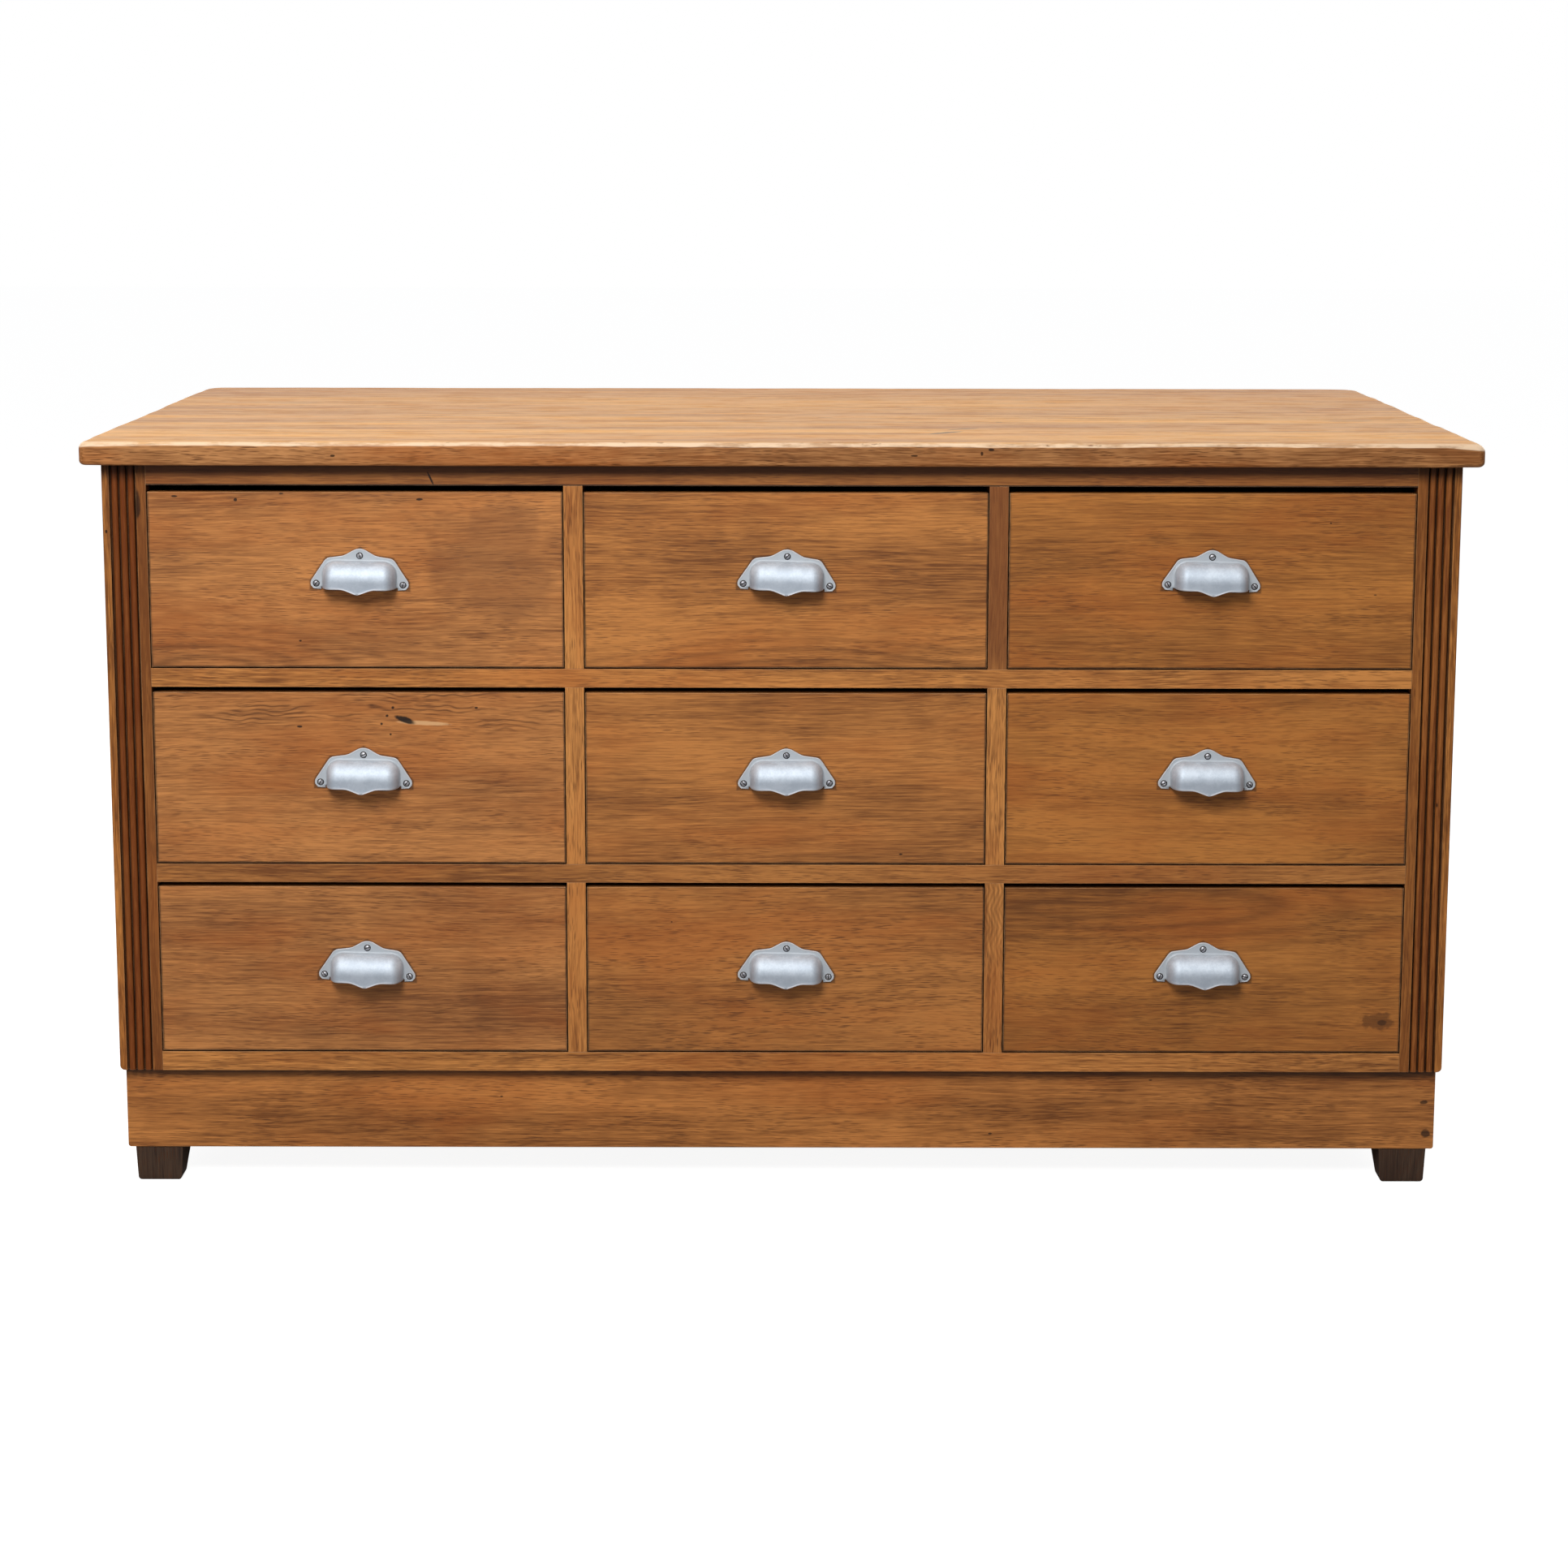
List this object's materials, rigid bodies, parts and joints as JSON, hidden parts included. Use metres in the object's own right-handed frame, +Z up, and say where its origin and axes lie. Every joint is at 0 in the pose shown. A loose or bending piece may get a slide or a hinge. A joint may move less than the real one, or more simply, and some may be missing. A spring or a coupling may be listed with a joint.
{
  "type": "chest of drawers",
  "caption": "Low wooden drawer cabinet with a plank top, reeded corner stiles, flush drawers with cup pulls, a plinth and short block feet.",
  "frame": {"origin": "on the floor, under the middle of the whole chest", "axes": "+X to the right along the front, +Y from the front to the back, +Z up; the drawers open along -Y"},
  "size_m": [1.5, 0.702, 0.83],
  "materials": {
    "top_wood": "waxed, worn, horizontal grain",
    "carcass_wood": "waxed, aged",
    "front_wood": "waxed, aged, horizontal grain",
    "inner_wood": "bare, dry",
    "foot_wood": "stained dark, worn",
    "pull_metal": "satin, slightly dented",
    "screw_metal": "dull, dirty slots"
  },
  "bodies": {
    "carcass": {"top": "top_wood", "left_side": "carcass_wood", "right_side": "carcass_wood", "left_stile": "carcass_wood", "right_stile": "carcass_wood", "bottom_rail": "carcass_wood", "middle_rails": "carcass_wood", "top_rail": "carcass_wood", "front_dividers": "carcass_wood", "runner_frames": "inner_wood", "drawer_guides": "inner_wood", "drawer_stops": "inner_wood", "back_boards": "inner_wood", "plinth": "carcass_wood", "feet": "foot_wood"},
    "bottom_left_drawer": {"bottom_left_drawer_front": "front_wood", "bottom_left_drawer_box": "inner_wood", "bottom_left_drawer_bottom": "inner_wood", "bottom_left_drawer_pull": "pull_metal", "bottom_left_drawer_screws": "screw_metal"},
    "bottom_centre_drawer": {"bottom_centre_drawer_front": "front_wood", "bottom_centre_drawer_box": "inner_wood", "bottom_centre_drawer_bottom": "inner_wood", "bottom_centre_drawer_pull": "pull_metal", "bottom_centre_drawer_screws": "screw_metal"},
    "bottom_right_drawer": {"bottom_right_drawer_front": "front_wood", "bottom_right_drawer_box": "inner_wood", "bottom_right_drawer_bottom": "inner_wood", "bottom_right_drawer_pull": "pull_metal", "bottom_right_drawer_screws": "screw_metal"},
    "middle_left_drawer": {"middle_left_drawer_front": "front_wood", "middle_left_drawer_box": "inner_wood", "middle_left_drawer_bottom": "inner_wood", "middle_left_drawer_pull": "pull_metal", "middle_left_drawer_screws": "screw_metal"},
    "middle_centre_drawer": {"middle_centre_drawer_front": "front_wood", "middle_centre_drawer_box": "inner_wood", "middle_centre_drawer_bottom": "inner_wood", "middle_centre_drawer_pull": "pull_metal", "middle_centre_drawer_screws": "screw_metal"},
    "middle_right_drawer": {"middle_right_drawer_front": "front_wood", "middle_right_drawer_box": "inner_wood", "middle_right_drawer_bottom": "inner_wood", "middle_right_drawer_pull": "pull_metal", "middle_right_drawer_screws": "screw_metal"},
    "top_left_drawer": {"top_left_drawer_front": "front_wood", "top_left_drawer_box": "inner_wood", "top_left_drawer_bottom": "inner_wood", "top_left_drawer_pull": "pull_metal", "top_left_drawer_screws": "screw_metal"},
    "top_centre_drawer": {"top_centre_drawer_front": "front_wood", "top_centre_drawer_box": "inner_wood", "top_centre_drawer_bottom": "inner_wood", "top_centre_drawer_pull": "pull_metal", "top_centre_drawer_screws": "screw_metal"},
    "top_right_drawer": {"top_right_drawer_front": "front_wood", "top_right_drawer_box": "inner_wood", "top_right_drawer_bottom": "inner_wood", "top_right_drawer_pull": "pull_metal", "top_right_drawer_screws": "screw_metal"}
  },
  "joints": [
    {"name": "bottom_left_drawer_slide", "type": "slide", "parent": "carcass", "child": "bottom_left_drawer", "axis": [0, -1, 0], "range_m": [0, 0.45]},
    {"name": "bottom_centre_drawer_slide", "type": "slide", "parent": "carcass", "child": "bottom_centre_drawer", "axis": [0, -1, 0], "range_m": [0, 0.45]},
    {"name": "bottom_right_drawer_slide", "type": "slide", "parent": "carcass", "child": "bottom_right_drawer", "axis": [0, -1, 0], "range_m": [0, 0.45]},
    {"name": "middle_left_drawer_slide", "type": "slide", "parent": "carcass", "child": "middle_left_drawer", "axis": [0, -1, 0], "range_m": [0, 0.45]},
    {"name": "middle_centre_drawer_slide", "type": "slide", "parent": "carcass", "child": "middle_centre_drawer", "axis": [0, -1, 0], "range_m": [0, 0.45]},
    {"name": "middle_right_drawer_slide", "type": "slide", "parent": "carcass", "child": "middle_right_drawer", "axis": [0, -1, 0], "range_m": [0, 0.45]},
    {"name": "top_left_drawer_slide", "type": "slide", "parent": "carcass", "child": "top_left_drawer", "axis": [0, -1, 0], "range_m": [0, 0.45]},
    {"name": "top_centre_drawer_slide", "type": "slide", "parent": "carcass", "child": "top_centre_drawer", "axis": [0, -1, 0], "range_m": [0, 0.45]},
    {"name": "top_right_drawer_slide", "type": "slide", "parent": "carcass", "child": "top_right_drawer", "axis": [0, -1, 0], "range_m": [0, 0.45]}
  ]
}
